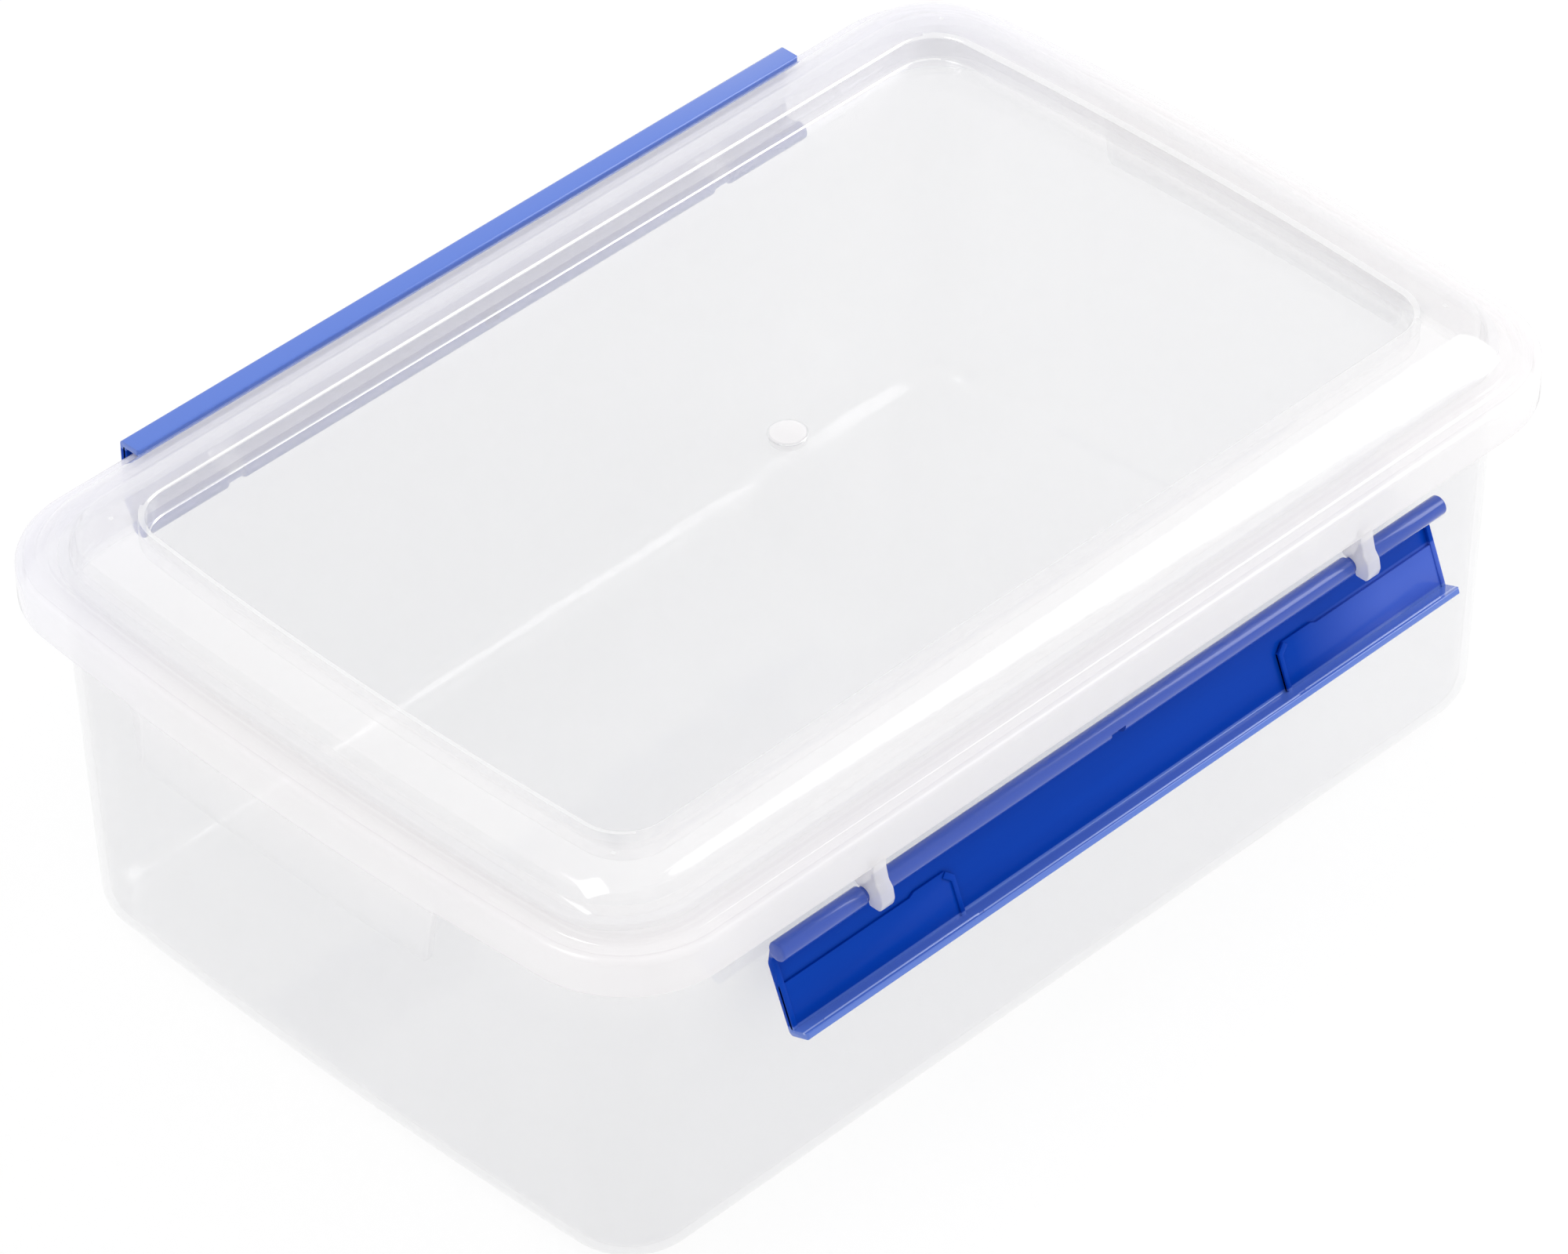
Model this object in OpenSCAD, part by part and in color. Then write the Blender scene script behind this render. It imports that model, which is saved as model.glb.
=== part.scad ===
// Clip-lock food storage container: a clear tub with a turned-down rim, a domed lid with a
// recessed panel, a soft seal ring, and two long clips that hinge on hooks under the rim.
// The origin is at the centre of the base, X runs along the clips and Z points up.
// The front clip hangs open and the rear clip is locked over the lid's edge.

/* [Overall] */
// Length of the lid over its bowed ends
lid_l = 303.8; // [290:0.1:320]
// Width of the lid
lid_w = 204; // [198:0.1:212]
// Corner radius of the lid
lid_r = 25.4; // [22:0.1:30]
// Radius of the bowed ends
end_radius = 1046; // [800:1:2000]
// Height of the face where the lid meets the tub
parting_z = 101.7; // [95:0.1:120]

/* [Tub] */
// Distance of the tub's wall in from the lid's edge at the ends
wall_in_end = 6.8; // [6:0.1:9]
// Distance of the tub's wall in from the lid's edge along the sides
wall_in_side = 8.1; // [7.5:0.1:10]
// Corner radius of the tub's wall
tub_r = 21.5; // [18:0.1:24]
// How far the wall leans in from the rim to the base
draft = 3.2; // [1:0.1:6]
// Thickness of the tub's wall
wall = 1.8; // [1.4:0.1:2.4]
// Radius under the edge of the base
base_r = 9.1; // [5:0.1:12]
// Thickness of the rim and of the apron
rim_t = 1.7; // [1.4:0.1:2.2]
// How far the apron stands out past the lid's edge
apron_out = 1.9; // [1.6:0.1:2.2]
// Depth of the apron along the long sides and corners
apron_h = 9.9; // [8:0.1:12]
// Depth of the apron at the hand grips
grip_h = 25.8; // [20:0.1:32]
// Width of the hand grips
grip_w = 93; // [70:1:110]

/* [Lid] */
// Thickness of the lid's shell
lid_t = 1.8; // [1.4:0.1:2.4]
// Height of the lid's vertical edge
edge_h = 0.8; // [0.6:0.1:1]
// Width of the ledge that the clips hold
ledge_w = 2.4; // [2.3:0.1:3]
// Radius of the lid's shoulder
shoulder_r = 20.4; // [16:0.1:22]
// Slope at which the shoulder leaves the ledge
shoulder_slope = 60; // [50:1:65]
// Width of the flat border between the shoulder and the panel
border_w = 4; // [3.5:0.1:6]
// Depth of the recessed panel
panel_depth = 6.4; // [4:0.1:7]
// Corner radius of the recessed panel
panel_r = 10.8; // [6:0.1:16]
// Radius of the recessed panel's bowed ends
panel_end_radius = 1075; // [800:1:2000]
// Diameter of the gate mark in the middle of the panel
gate_d = 9.4; // [5:0.1:14]
// Depth of the gate mark
gate_depth = 0.3; // [0.2:0.1:0.6]
// How far the plug skirt reaches below the parting face
skirt_h = 6; // [4:0.1:10]
// Thickness of the plug skirt
skirt_t = 1.5; // [1.2:0.1:2]
// Distance of the seal's outer rib in from the lid's edge
rib_in = 3.9; // [3.8:0.1:4]
// Thickness of the seal's outer rib
rib_w = 1.3; // [1.1:0.1:1.4]
// Gap between the plug skirt and the tub's wall
plug_gap = 0.6; // [0.4:0.1:1]

/* [Seal] */
// Width of the seal ring
seal_w = 2.6; // [2:0.1:2.8]
// Height of the seal ring
seal_h = 2.2; // [1.6:0.1:2.3]
// Gap between the seal and the plug skirt
seal_gap = 0.15; // [0.1:0.05:0.3]

/* [Clips] */
// Length of a clip's panel
clip_l = 206; // [196:0.5:214]
// Thickness of a clip's panel in the middle
clip_t = 0.9; // [0.8:0.1:1.2]
// How far the end plates stand in from the panel
plate_t = 0.7; // [0.4:0.1:0.9]
// Distance from the middle of a clip to the inner end of each plate
plate_x = 51; // [40:0.5:60]
// Distance from the hinge axis out to the clip's outer face
clip_out = 5.5; // [5.4:0.1:6]
// Height above the hinge axis at which the clip's panel stands upright
root_h = 4.2; // [3.8:0.1:4.6]
// Thickness of the lip
lip_t = 1.6; // [1.4:0.1:2]
// How far the lip reaches in over the lid's edge
lip_reach = 2; // [1.6:0.1:2.1]
// Gap between the lip and the ledge
lip_gap = 0.35; // [0.3:0.05:0.5]
// Chamfer along the lip's edges
lip_cut = 0.4; // [0.2:0.1:0.5]
// Diameter of the bead along the clip's hinge edge
bead_d = 4.9; // [4.4:0.1:5.2]
// How far the bead stands out past each end of the panel
bead_over = 1; // [0.6:0.1:2]
// Length of the notch in the middle of the bead
notch_l = 4.4; // [2:0.1:8]
// Depth of the notch in the bead
notch_h = 0.95; // [0.4:0.05:1.2]
// How far the open clip has turned from its locked place
open_angle = 158.8; // [120:0.1:159]

/* [Hinges] */
// Height of the hinge axis below the parting face
axis_drop = 19.2; // [18:0.1:22]
// Distance of the hinge axis in from the lid's edge
axis_in = 1.4; // [1.2:0.1:1.6]
// Diameter of the hinge pin
pin_d = 3.5; // [3:0.1:3.8]
// Running fit of the pin in the hook, on the radius
pin_fit = 0.08; // [0.05:0.01:0.1]
// Distance from the middle to each hook
hook_x = 76.3; // [65:0.1:85]
// Width of a hook
hook_w = 4; // [3:0.1:5]
// Gap beside a hook in the clip's window
hook_gap = 0.6; // [0.4:0.1:1]
// Wall of the hook round the pin
hook_t = 1.8; // [1.5:0.1:2.2]
// How far the hook's nose stands out from the hinge axis
hook_out = 5.9; // [5.6:0.1:6]
// How far the hook's nose reaches below the hinge axis
hook_low = 2.1; // [1.9:0.1:2.4]
// Width of the hook's mouth, through which the pin snaps in
hook_mouth = 3; // [2.8:0.1:3.3]
// Clearance between a hook and the inner face of the locked clip
hook_clear = 0.45; // [0.35:0.05:0.5]
// Height of the clip's windows above the hinge axis
window_h = 4.9; // [4.8:0.1:5.4]

/* [Hidden] */
corner_steps = 12;
end_steps = 8;
arc_steps = 7;
overlap = 0.5;
round_fn = 64;
clear = [0.93, 0.94, 0.96, 0.55];
blue = [0.05, 0.22, 0.68];

tub_end_radius = 1500;
tub_l = lid_l - 2 * wall_in_end;
tub_w = lid_w - 2 * wall_in_side;
axis_y = lid_w / 2 - axis_in;
axis_z = parting_z - axis_drop;
ledge_up = axis_drop + edge_h;
apron_v = axis_in + apron_out;
apron_up = axis_drop - apron_h;
inner_v = clip_out - clip_t;
flat_w = ledge_w + shoulder_r * sin(shoulder_slope);
lid_top = parting_z + edge_h + shoulder_r * (1 - cos(shoulder_slope));
panel_inset = flat_w + border_w;
skirt_inset = wall + plug_gap;
lip_up = ledge_up + lip_gap;
bead_l = clip_l + 2 * bead_over;

// Points along an arc from angle a to angle b, with the first or the last ones left out on request
function arc(centre, radius, a, b, steps, skip_first = 0, skip_last = 0) =
  [for (i = [skip_first:steps - skip_last]) let (t = a + (b - a) * i / steps)
    centre + radius * [cos(t), sin(t)]];

// Outline with rounded corners and bowed ends, set in from the given size by an inset
function outline(length, width, radius, bow, inset = 0) =
  let (
    r = radius - inset,
    big = bow - inset,
    cy = width / 2 - radius,
    phi = asin(cy / (big - r)),
    ex = length / 2 - bow,
    cx = ex + (big - r) * cos(phi)
  )
  concat(
    arc([ex, 0], big, -phi, phi, end_steps),
    arc([cx, cy], r, phi, 90, corner_steps, skip_first = 1),
    arc([-cx, cy], r, 90, 180 - phi, corner_steps, skip_last = 1),
    arc([-ex, 0], big, 180 - phi, 180 + phi, end_steps),
    arc([-cx, -cy], r, 180 + phi, 270, corner_steps, skip_first = 1),
    arc([cx, -cy], r, 270, 360 - phi, corner_steps, skip_last = 1)
  );

function lid_outline(inset) = outline(lid_l, lid_w, lid_r, end_radius, inset);
function tub_outline(inset) = outline(tub_l, tub_w, tub_r, tub_end_radius, inset);
function panel_outline(inset) =
  outline(lid_l - 2 * panel_inset, lid_w - 2 * panel_inset, panel_r, panel_end_radius, inset);

// Closed ring through a loop of outlines, each given as [points, height]
module ring(loop) {
  n = len(loop[0][0]);
  m = len(loop);
  points = [for (s = loop) for (p = s[0]) [p.x, p.y, s[1]]];
  faces = [
    for (j = [0:m - 1]) for (i = [0:n - 1])
      let (k = (j + 1) % m, l = (i + 1) % n)
      each [[j * n + i, k * n + i, k * n + l], [j * n + i, k * n + l, j * n + l]]
  ];
  polyhedron(points, faces);
}

// Upright band between two outlines
module band(outer, inner_edge, bottom, top) {
  translate([0, 0, bottom]) linear_extrude(top - bottom) difference() {
    polygon(outer);
    polygon(inner_edge);
  }
}

module tub_shell() {
  top = parting_z - rim_t / 2;
  lean = draft / (parting_z - base_r);
  foot = draft + base_r + overlap;
  inner_r = base_r - wall;
  ring(concat(
    [[tub_outline(foot), 0]],
    [for (i = [0:arc_steps]) let (t = 90 * i / arc_steps)
      [tub_outline(draft + base_r * (1 - sin(t))), base_r * (1 - cos(t))]],
    [[tub_outline(lean * (parting_z - top)), top]],
    [[tub_outline(wall + lean * (parting_z - top)), top]],
    [for (i = [0:arc_steps]) let (t = 90 - 90 * i / arc_steps)
      [tub_outline(draft + wall + inner_r * (1 - sin(t))), wall + inner_r * (1 - cos(t))]],
    [[tub_outline(foot), wall]]
  ));
  linear_extrude(wall) polygon(tub_outline(foot - overlap));
}

// Rim on top of the wall with the apron turned down from it
module rim() {
  difference() {
    union() {
      band(lid_outline(-apron_out), tub_outline(wall + overlap / 2), parting_z - rim_t, parting_z);
      band(lid_outline(-apron_out), lid_outline(rim_t - apron_out), parting_z - grip_h, parting_z);
    }
    for (side = [-1, 1])
      translate([-lid_l, side * (lid_w + grip_w) / 2 - lid_w / 2, parting_z - 2 * grip_h])
        cube([2 * lid_l, lid_w, 2 * grip_h - apron_h]);
  }
}

// Hook under the apron, in the clip's section plane: X points out and Y points up
module hook_section() {
  top = apron_up + rim_t;
  bore_r = pin_d / 2 + pin_fit;
  nose_top = window_h - hook_clear;
  difference() {
    union() {
      circle(r = bore_r + hook_t, $fn = round_fn);
      intersection() {
        circle(r = hook_out, $fn = round_fn);
        polygon([[0, bore_r], [bore_r, -hook_low], [hook_out, -hook_low], [hook_out, nose_top],
          [0, nose_top]]);
      }
      polygon([[apron_v - rim_t, top], [apron_v, top], [apron_v, apron_up - rim_t],
        [inner_v - hook_clear, nose_top], [0, bore_r], [0, window_h]]);
    }
    circle(r = bore_r, $fn = round_fn);
    rotate([0, 0, 225]) translate([0, -hook_mouth / 2]) square([3 * pin_d, hook_mouth]);
  }
}

module tub() {
  color(clear) union() {
    tub_shell();
    rim();
    for (side = [0, 1], x = [-hook_x, hook_x])
      rotate([0, 0, 180 * side]) translate([x - hook_w / 2, -axis_y, axis_z])
        rotate([90, 0, 90]) linear_extrude(hook_w) mirror([1, 0]) hook_section();
  }
}

// Outline and height of the lid's shoulder, set in by a shell thickness, at slope t
function shoulder(t, thickness) =
  [lid_outline(flat_w - (shoulder_r - thickness) * sin(t)),
    lid_top - shoulder_r + (shoulder_r - thickness) * cos(t)];

// Height of the shoulder at an inset from the lid's edge, at a depth in its shell
function shoulder_up(inset, depth) =
  lid_top - shoulder_r + sqrt((shoulder_r - depth) ^ 2 - (flat_w - inset) ^ 2);

module lid_shell() {
  under = acos((parting_z - lid_top + shoulder_r) / (shoulder_r - lid_t));
  ring(concat(
    [[lid_outline(0), parting_z], [lid_outline(0), parting_z + edge_h]],
    [for (i = [0:arc_steps]) shoulder(shoulder_slope * (1 - i / arc_steps), 0)],
    [[lid_outline(flat_w + overlap * 2), lid_top], [lid_outline(flat_w + overlap * 2), lid_top - lid_t]],
    [for (i = [0:arc_steps]) shoulder(under * i / arc_steps, lid_t)]
  ));
}

module panel() {
  floor_top = lid_top - panel_depth;
  band(lid_outline(flat_w + overlap), panel_outline(0), lid_top - lid_t, lid_top);
  band(panel_outline(-lid_t), panel_outline(0), floor_top - lid_t, lid_top - lid_t / 2);
  difference() {
    translate([0, 0, floor_top - lid_t]) linear_extrude(lid_t) polygon(panel_outline(-lid_t / 2));
    translate([0, 0, floor_top - gate_depth]) cylinder(d = gate_d, h = lid_t, $fn = round_fn);
  }
}

module lid() {
  rib_top = shoulder_up(rib_in, lid_t / 4);
  skirt_top = shoulder_up(wall_in_end + skirt_inset, lid_t / 8);
  color(clear) union() {
    lid_shell();
    panel();
    band(tub_outline(skirt_inset), tub_outline(skirt_inset + skirt_t), parting_z - skirt_h, skirt_top);
    band(lid_outline(rib_in), lid_outline(rib_in + rib_w), parting_z, rib_top);
  }
}

module seal() {
  color([0.96, 0.97, 0.98, 0.8])
    band(tub_outline(skirt_inset - seal_gap - seal_w), tub_outline(skirt_inset - seal_gap),
      parting_z, parting_z + seal_h);
}

// Section of a clip locked upright, X out from the hinge axis and Y up, with its inner face at face_v
module clip_section(face_v) {
  bead_r = bead_d / 2;
  tip = axis_in - lip_reach;
  lip_top = lip_up + lip_t;
  knee = clip_out - 2 * clip_t;
  polygon([
    [bead_r / 3, -bead_r * 0.9], [knee, root_h - bead_d + clip_t], [clip_out, root_h],
    [clip_out, lip_top - 2 * lip_cut], [clip_out - 2 * lip_cut, lip_top],
    [tip + lip_cut, lip_top], [tip, lip_top - lip_cut], [tip, lip_up],
    [face_v, lip_up], [face_v, apron_up + pin_fit], [inner_v, apron_up - pin_fit],
    [inner_v, root_h + clip_t / 2], [knee - clip_t / 2, root_h - clip_t], [bead_r / 3, bead_r * 0.9]
  ]);
}

module clip_blank(face_v, length) {
  rotate([90, 0, 90]) translate([0, 0, -length / 2]) linear_extrude(length)
    mirror([1, 0]) clip_section(face_v);
}

// One clip about its hinge axis, locked upright, with its outer face towards the front
module clip() {
  window_w = hook_w + 2 * hook_gap;
  color(blue) union() {
    difference() {
      union() {
        clip_blank(inner_v, clip_l);
        rotate([0, 90, 0]) cylinder(d = bead_d, h = bead_l, center = true, $fn = round_fn);
        for (side = [-1, 1])
          translate([side * (clip_l / 2 + plate_x) / 2, 0, 0])
            clip_blank(inner_v - plate_t, clip_l / 2 - plate_x);
      }
      for (x = [-hook_x, hook_x])
        translate([x - window_w / 2, -2 * clip_out, -2 * bead_d])
          cube([window_w, 4 * clip_out, 2 * bead_d + window_h]);
      translate([-notch_l, 0, bead_d / 2 - notch_h]) cube([notch_l, bead_d, bead_d]);
    }
    for (x = [-hook_x, hook_x])
      translate([x, 0, 0]) rotate([0, 90, 0])
        cylinder(d = pin_d, h = window_w + 2 * overlap, center = true, $fn = round_fn);
  }
}

module front_clip() {
  translate([0, -axis_y, axis_z]) rotate([open_angle, 0, 0]) clip();
}

module rear_clip() {
  rotate([0, 0, 180]) translate([0, -axis_y, axis_z]) clip();
}

tub();
lid();
seal();
front_clip();
rear_clip();
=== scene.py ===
"""Clip-lock food storage container, dressed for its photograph.

A clear tub with a turned-down rim, a clear domed lid with a recessed panel, a soft seal ring
under the lid, and two blue clips. The front clip hangs open and the rear clip is locked.
"""

import logging
import math
from dataclasses import dataclass, field
from enum import Enum
from typing import Callable, Optional, Sequence

import bmesh
import bpy
from mathutils import Matrix, Vector


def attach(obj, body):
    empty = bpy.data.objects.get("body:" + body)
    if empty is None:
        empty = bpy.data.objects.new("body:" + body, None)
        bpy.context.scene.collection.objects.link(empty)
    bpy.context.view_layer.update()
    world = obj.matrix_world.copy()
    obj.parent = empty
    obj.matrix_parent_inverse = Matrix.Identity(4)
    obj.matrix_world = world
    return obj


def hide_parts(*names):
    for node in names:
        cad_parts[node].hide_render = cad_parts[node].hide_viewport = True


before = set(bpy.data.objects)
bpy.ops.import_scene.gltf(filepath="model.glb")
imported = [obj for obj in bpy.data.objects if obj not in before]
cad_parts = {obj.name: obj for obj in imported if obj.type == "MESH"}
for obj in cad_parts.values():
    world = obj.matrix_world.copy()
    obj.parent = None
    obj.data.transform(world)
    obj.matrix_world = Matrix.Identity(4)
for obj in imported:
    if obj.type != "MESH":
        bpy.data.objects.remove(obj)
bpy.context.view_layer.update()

MM = 0.001
LEVEL = 1e-6  # heights closer than this are the same
MERGE = 1e-4  # vertices of a cut mesh closer than this, in millimetres, become one
log = logging.getLogger("container")

Point = tuple[float, float]


class Family(Enum):
    """Which of the object's three outlines a station of a moulded shell follows."""

    LID = "lid"
    WALL = "wall"
    PANEL = "panel"


@dataclass(frozen=True)
class Outline:
    """Rounded rectangle with bowed ends, in millimetres.

    The number of points depends only on the step counts, so any two outlines can be bridged.
    """

    length: float
    width: float
    radius: float
    end_radius: float
    corner_steps: int = 16
    side_steps: int = 24

    def end_stations(self) -> list[float]:
        """Returns the places along half an end, from 0 to 1, close together near a grip's step."""
        coarse = [i / 8 * 0.52 for i in range(8)]
        fine = [0.52 + i / 24 * 0.36 for i in range(25)]
        return coarse + fine + [0.94, 1.0]

    def points(self, inset: float) -> list[Point]:
        """Works out the outline set in by a distance.

        Args:
            inset: How far inside the named size the outline runs; below 0 is outside.

        Returns:
            The outline's points, anticlockwise from the middle of the +X end.
        """
        r = self.radius - inset
        big = self.end_radius - inset
        cy = self.width / 2 - self.radius
        phi = math.asin(cy / (big - r))
        ex = self.length / 2 - self.end_radius
        cx = ex + (big - r) * math.cos(phi)
        quarter: list[Point] = []
        for t in self.end_stations():
            quarter.append((ex + big * math.cos(phi * t), big * math.sin(phi * t)))
        for i in range(1, self.corner_steps + 1):
            a = phi + (math.pi / 2 - phi) * i / self.corner_steps
            quarter.append((cx + r * math.cos(a), cy + r * math.sin(a)))
        for i in range(1, self.side_steps + 1):
            quarter.append((cx * (1 - i / self.side_steps), cy + r))
        half = quarter + [(-x, y) for x, y in reversed(quarter[:-1])]
        return half + [(x, -y) for x, y in reversed(half[1:-1])]


@dataclass(frozen=True)
class Station:
    """One ring of a moulded shell: an outline, its inset and its height, in millimetres."""

    family: Family
    inset: float
    height: float
    level: Optional[Callable[[float, float], float]] = None


@dataclass(frozen=True)
class Sizes:
    """Driving sizes of the container in millimetres, as in the part's own source."""

    lid_l: float = 303.8
    lid_w: float = 204.0
    lid_r: float = 25.4
    end_radius: float = 1046.0
    parting_z: float = 101.7
    tub_l: float = 290.2
    tub_w: float = 187.8
    tub_r: float = 21.5
    tub_end_radius: float = 1500.0
    draft: float = 3.2
    wall: float = 1.8
    base_r: float = 9.1
    rim_t: float = 1.7
    apron_out: float = 1.9
    apron_h: float = 9.9
    grip_h: float = 25.8
    grip_w: float = 93.0
    lid_t: float = 1.8
    edge_h: float = 0.8
    ledge_w: float = 2.4
    shoulder_r: float = 20.4
    shoulder_slope: float = math.radians(60)
    border_w: float = 4.0
    panel_depth: float = 6.4
    panel_r: float = 10.8
    panel_end_radius: float = 1075.0
    gate_d: float = 9.4
    skirt_h: float = 6.0
    skirt_t: float = 1.5
    plug_gap: float = 0.6
    seal_w: float = 2.6
    seal_h: float = 2.2
    seal_gap: float = 0.15
    axis_drop: float = 19.2
    axis_in: float = 1.4
    open_angle: float = math.radians(158.8)

    @property
    def flat_inset(self) -> float:
        """Inset at which the shoulder becomes the flat border."""
        return self.ledge_w + self.shoulder_r * math.sin(self.shoulder_slope)

    @property
    def lid_top(self) -> float:
        """Height of the flat border round the panel."""
        rise = self.shoulder_r * (1 - math.cos(self.shoulder_slope))
        return self.parting_z + self.edge_h + rise

    @property
    def skirt_inset(self) -> float:
        """Inset of the plug skirt's outer face from the tub's wall outline."""
        return self.wall + self.plug_gap

    @property
    def axis_y(self) -> float:
        """Distance of each hinge axis from the middle."""
        return self.lid_w / 2 - self.axis_in

    @property
    def axis_z(self) -> float:
        """Height of the hinge axes."""
        return self.parting_z - self.axis_drop

    def outline(self, family: Family) -> Outline:
        """Returns the outline that a family of stations follows."""
        if family is Family.LID:
            return Outline(self.lid_l, self.lid_w, self.lid_r, self.end_radius)
        if family is Family.WALL:
            return Outline(self.tub_l, self.tub_w, self.tub_r, self.tub_end_radius)
        inset = self.flat_inset + self.border_w
        return Outline(self.lid_l - 2 * inset, self.lid_w - 2 * inset, self.panel_r,
                       self.panel_end_radius)

    def shoulder_height(self, inset: float, thickness: float = 0.0) -> float:
        """Returns the shoulder's height at an inset, on a face that deep in the lid's shell."""
        radius = self.shoulder_r - thickness
        rise = math.sqrt(radius ** 2 - (self.flat_inset - inset) ** 2)
        return self.lid_top - self.shoulder_r + rise


class Socket:
    """A shader socket on which sums, products and powers add the Math nodes they need."""

    def __init__(self, shader: "Shader", socket: bpy.types.NodeSocket) -> None:
        """Keeps the shader that makes the nodes and the socket that holds the value."""
        self.shader = shader
        self.socket = socket

    def _math(self, operation: str, *values: object) -> "Socket":
        """Returns the result of one Math node."""
        return self.shader.node("ShaderNodeMath", {"operation": operation}, dict(enumerate(values)))

    def __add__(self, other: object) -> "Socket":
        """Adds."""
        return self._math("ADD", self, other)

    __radd__ = __add__

    def __sub__(self, other: object) -> "Socket":
        """Subtracts."""
        return self._math("SUBTRACT", self, other)

    def __rsub__(self, other: object) -> "Socket":
        """Subtracts from a number."""
        return self._math("SUBTRACT", other, self)

    def __mul__(self, other: object) -> "Socket":
        """Multiplies."""
        return self._math("MULTIPLY", self, other)

    __rmul__ = __mul__

    def __pow__(self, other: object) -> "Socket":
        """Raises to a power."""
        return self._math("POWER", self, other)

    def __abs__(self) -> "Socket":
        """Drops the sign."""
        return self._math("ABSOLUTE", self)

    def ramp(self, low: float, high: float) -> "Socket":
        """Returns 0 up to the low value, 1 from the high value on, and a straight line between."""
        return self.shader.node("ShaderNodeMapRange", {},
                                {"Value": self, "From Min": low, "From Max": high})


class Shader:
    """One material's node tree, cleared and ready for its finish."""

    def __init__(self, name: str) -> None:
        """Makes the material and its output."""
        self.material = bpy.data.materials.new(name)
        self.material.use_nodes = True
        self.tree = self.material.node_tree
        self.tree.nodes.clear()
        self.output = self.tree.nodes.new("ShaderNodeOutputMaterial")

    def node(self, kind: str, settings: Optional[dict] = None, inputs: Optional[dict] = None,
             output: object = 0) -> Socket:
        """Makes a node.

        Args:
            kind: The node's type name.
            settings: Its properties.
            inputs: Values or sockets for its inputs, by name or number.
            output: Which output is wanted.

        Returns:
            The chosen output.
        """
        made = self.tree.nodes.new(kind)
        for key, value in (settings or {}).items():
            setattr(made, key, value)
        for key, value in (inputs or {}).items():
            target = made.inputs[key]
            if isinstance(value, Socket):
                self.tree.links.new(value.socket, target)
            else:
                target.default_value = value
        return Socket(self, made.outputs[output])

    def axes(self) -> tuple[Socket, Socket, Socket]:
        """Returns the object's own X, Y and Z coordinates, in metres."""
        place = self.node("ShaderNodeTexCoord", output="Object")
        return tuple(self.node("ShaderNodeSeparateXYZ", {}, {"Vector": place}, axis)
                     for axis in "XYZ")

    def noise(self, scale: float, detail: float = 2.0) -> Socket:
        """Returns noise over the object, with about that many cells in a metre."""
        place = self.node("ShaderNodeTexCoord", output="Object")
        return self.node("ShaderNodeTexNoise", {},
                         {"Vector": place, "Scale": scale, "Detail": detail})

    def bump(self, height: Socket, distance: float, strength: float = 1.0) -> Socket:
        """Returns a normal that follows a height."""
        return self.node("ShaderNodeBump", {},
                         {"Height": height, "Distance": distance, "Strength": strength}, "Normal")

    def mix(self, factor: object, low: object, high: object) -> Socket:
        """Returns a colour between two colours."""
        return self.node("ShaderNodeMix", {"data_type": "RGBA"}, {0: factor, 6: low, 7: high}, 2)

    def blend(self, factor: object, first: Socket, second: Socket) -> Socket:
        """Returns a mix of two shaders."""
        return self.node("ShaderNodeMixShader", {}, {0: factor, 1: first, 2: second})

    def finish(self, surface: Socket) -> bpy.types.Material:
        """Links the surface to the output and returns the material."""
        self.tree.links.new(surface.socket, self.output.inputs["Surface"])
        return self.material


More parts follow.
